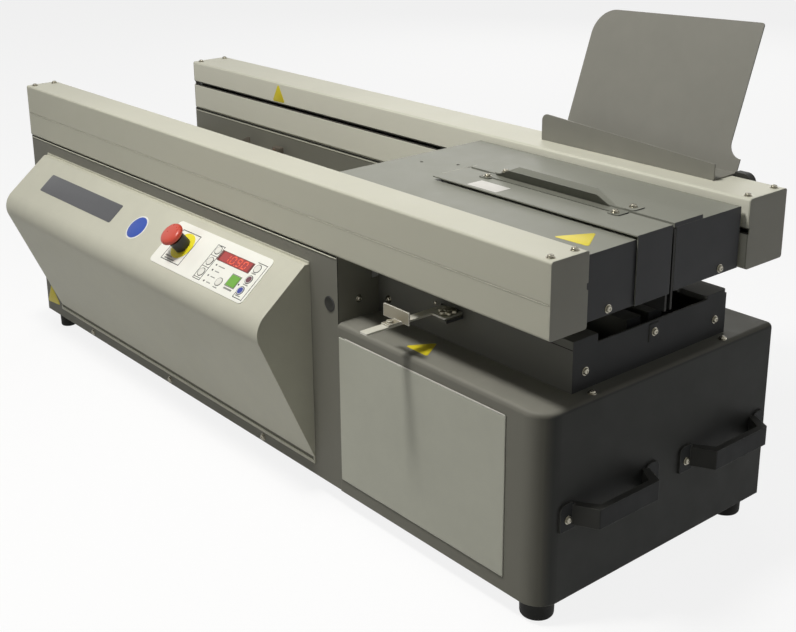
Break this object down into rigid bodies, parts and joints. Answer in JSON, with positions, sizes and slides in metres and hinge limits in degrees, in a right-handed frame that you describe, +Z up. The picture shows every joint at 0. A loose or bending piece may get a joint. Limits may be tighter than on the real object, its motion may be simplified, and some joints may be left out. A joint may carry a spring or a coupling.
{
  "type": "perfect binding machine",
  "caption": "Desk perfect binder: a clamp carriage rides two long rails over glue and mill stations to a cover nipper, with sloping controls, a hinged door and a paper rest.",
  "frame": {"origin": "bottom centre of the whole machine's bounding box, on the bench", "axes": "+X along the rails toward the loading end, +Y away from the operator, +Z up"},
  "size_m": [1.573, 0.705, 0.7708],
  "materials": {
    "rail_coat": "fine powder coat, light warm gray",
    "console_coat": "fine powder coat, light warm gray",
    "door_coat": "fine powder coat, light warm gray",
    "body_coat": "fine powder coat, dark warm gray",
    "deck_coat": "satin gray coat",
    "carriage_coat": "satin gray coat",
    "guide_coat": "satin black",
    "jaw_steel": "ground steel",
    "frame_alloy": "milled",
    "rod_chrome": "polished",
    "bearing_alloy": "anodised",
    "actuator_alloy": "anodised",
    "motor_coat": "black enamel",
    "belt_rubber": "toothed black rubber",
    "pulley_alloy": "turned",
    "tank_alloy": "cast, non-stick coated",
    "roller_steel": "turned steel",
    "cutter_steel": "ground tool steel",
    "station_black": "satin black",
    "nip_black": "satin black",
    "gauge_steel": "bright, brushed lengthwise",
    "knob_nickel": "satin nickel",
    "rest_coat": "fine powder coat, mid gray",
    "bracket_black": "satin black",
    "handle_plastic": "fine grained black",
    "foot_rubber": "matte black rubber",
    "screw_nickel": "nickel plated",
    "overlay_film": "printed film, fine texture",
    "display_red": "dark red window",
    "collar_plastic": "smooth black",
    "button_red": "smooth red",
    "key_light": "film covered, light",
    "key_red": "film covered, dark red",
    "key_blue": "film covered, blue",
    "key_green": "film covered, green",
    "inlet_plastic": "moulded black",
    "board_green": "green circuit board"
  },
  "bodies": {
    "machine": {"bottom_pan": "body_coat", "rubber_feet": "foot_rubber", "body_front_panel": "body_coat", "body_back_panel": "body_coat", "left_end_panel": "body_coat", "centre_wall": "body_coat", "trough_deck": "deck_coat", "base_cover": "body_coat", "console_shell": "console_coat", "control_overlay": "overlay_film", "display_window": "display_red", "estop_collar": "collar_plastic", "front_rail_upper": "rail_coat", "front_rail_lower": "rail_coat", "back_rail_upper": "rail_coat", "back_rail_lower": "rail_coat", "rail_end_caps": "rail_coat", "rail_beams": "frame_alloy", "guide_rods": "rod_chrome", "drive_motors": "motor_coat", "drive_belt": "belt_rubber", "mill_motor": "motor_coat", "glue_tank": "tank_alloy", "nip_housing": "station_black", "control_board": "board_green", "mains_inlet": "inlet_plastic", "case_screws": "screw_nickel", "carry_handles": "handle_plastic", "rest_bracket": "bracket_black"},
    "carriage": {"carriage_cover": "carriage_coat", "carriage_frame": "frame_alloy", "bearing_blocks": "bearing_alloy", "rear_guide_plate": "carriage_coat", "rear_jaw": "jaw_steel", "clamp_actuators": "actuator_alloy", "carriage_screws": "screw_nickel"},
    "jaw": {"front_jaw": "jaw_steel", "jaw_cover": "carriage_coat", "front_guide_plate": "guide_coat", "jaw_screws": "screw_nickel"},
    "door": {"door_panel": "door_coat"},
    "paper_rest": {"paper_rest": "rest_coat"},
    "gauge": {"gauge_bar": "gauge_steel"},
    "cover_stop": {"stop_plate": "gauge_steel"},
    "gauge_knob": {"gauge_knob": "knob_nickel"},
    "mill": {"mill_cutter": "cutter_steel"},
    "glue_roller": {"glue_roller": "roller_steel"},
    "nip_front": {"nip_plate_front": "nip_black"},
    "nip_back": {"nip_plate_back": "nip_black"},
    "drive_pulley": {"drive_pulley": "pulley_alloy"},
    "idler_pulley": {"idler_pulley": "pulley_alloy"},
    "estop": {"estop_button": "button_red"},
    "key_count": {"key_count": "key_light"},
    "key_mode": {"key_mode": "key_light"},
    "key_heat": {"key_heat": "key_light"},
    "key_select": {"key_select": "key_light"},
    "key_stop": {"key_stop": "key_red"},
    "key_reset": {"key_reset": "key_blue"},
    "key_set": {"key_set": "key_light"},
    "key_start": {"key_start": "key_green"}
  },
  "joints": [
    {"name": "carriage_slide", "type": "slide", "parent": "machine", "child": "carriage", "axis": [-1, 0, 0], "range_m": [0, 0.86]},
    {"name": "jaw_slide", "type": "slide", "parent": "carriage", "child": "jaw", "axis": [0, -1, 0], "range_m": [0, 0.045]},
    {"name": "door_swing", "type": "hinge", "parent": "machine", "child": "door", "pos_m": [0.3215, -0.24494, 0.181], "axis": [0, 0, -1], "range_deg": [0, 100]},
    {"name": "rest_fold", "type": "hinge", "parent": "machine", "child": "paper_rest", "pos_m": [0.4775, 0.27006, 0.539], "axis": [-1, 0, 0], "range_deg": [0, 60]},
    {"name": "gauge_slide", "type": "slide", "parent": "machine", "child": "gauge", "axis": [0, -1, 0], "range_m": [0, 0.03]},
    {"name": "stop_slide", "type": "slide", "parent": "gauge", "child": "cover_stop", "axis": [0, 1, 0], "range_m": [-0.012, 0.012]},
    {"name": "knob_turn", "type": "hinge", "parent": "machine", "child": "gauge_knob", "pos_m": [0.4905, -0.18344, 0.387], "axis": [0, 0, 1], "range_deg": [-180, 180]},
    {"name": "mill_spin", "type": "hinge", "parent": "machine", "child": "mill", "pos_m": [0.1385, 0.00556, 0.407], "axis": [0, 0, 1], "continuous": true},
    {"name": "glue_roller_spin", "type": "hinge", "parent": "machine", "child": "glue_roller", "pos_m": [-0.2165, 0.00556, 0.3675], "axis": [0, 1, 0], "continuous": true},
    {"name": "nip_front_slide", "type": "slide", "parent": "machine", "child": "nip_front", "axis": [0, 1, 0], "range_m": [0, 0.008]},
    {"name": "nip_back_slide", "type": "slide", "parent": "machine", "child": "nip_back", "axis": [0, 1, 0], "range_m": [-0.008, 0]},
    {"name": "drive_pulley_spin", "type": "hinge", "parent": "machine", "child": "drive_pulley", "pos_m": [-0.7475, 0.22606, 0.495], "axis": [0, 1, 0], "range_deg": [0, 2470]},
    {"name": "idler_pulley_spin", "type": "hinge", "parent": "machine", "child": "idler_pulley", "pos_m": [0.7135, 0.22606, 0.495], "axis": [0, 1, 0], "range_deg": [0, 2470]},
    {"name": "estop_press", "type": "slide", "parent": "machine", "child": "estop", "axis": [0, 0.6336, -0.7736], "range_m": [0, 0.005]},
    {"name": "key_count_press", "type": "slide", "parent": "machine", "child": "key_count", "axis": [0, 0.6336, -0.7736], "range_m": [0, 0.0006], "stiffness_N_per_m": 800},
    {"name": "key_mode_press", "type": "slide", "parent": "machine", "child": "key_mode", "axis": [0, 0.6336, -0.7736], "range_m": [0, 0.0006], "stiffness_N_per_m": 800},
    {"name": "key_heat_press", "type": "slide", "parent": "machine", "child": "key_heat", "axis": [0, 0.6336, -0.7736], "range_m": [0, 0.0006], "stiffness_N_per_m": 800},
    {"name": "key_select_press", "type": "slide", "parent": "machine", "child": "key_select", "axis": [0, 0.6336, -0.7736], "range_m": [0, 0.0006], "stiffness_N_per_m": 800},
    {"name": "key_stop_press", "type": "slide", "parent": "machine", "child": "key_stop", "axis": [0, 0.6336, -0.7736], "range_m": [0, 0.0006], "stiffness_N_per_m": 800},
    {"name": "key_reset_press", "type": "slide", "parent": "machine", "child": "key_reset", "axis": [0, 0.6336, -0.7736], "range_m": [0, 0.0006], "stiffness_N_per_m": 800},
    {"name": "key_set_press", "type": "slide", "parent": "machine", "child": "key_set", "axis": [0, 0.6336, -0.7736], "range_m": [0, 0.0006], "stiffness_N_per_m": 800},
    {"name": "key_start_press", "type": "slide", "parent": "machine", "child": "key_start", "axis": [0, 0.6336, -0.7736], "range_m": [0, 0.0006], "stiffness_N_per_m": 800}
  ],
  "couplings": [
    {"joint": "nip_back_slide", "follows": "nip_front_slide", "ratio": -1},
    {"joint": "drive_pulley_spin", "follows": "carriage_slide", "rad_per_m": 50},
    {"joint": "idler_pulley_spin", "follows": "carriage_slide", "rad_per_m": 50}
  ]
}
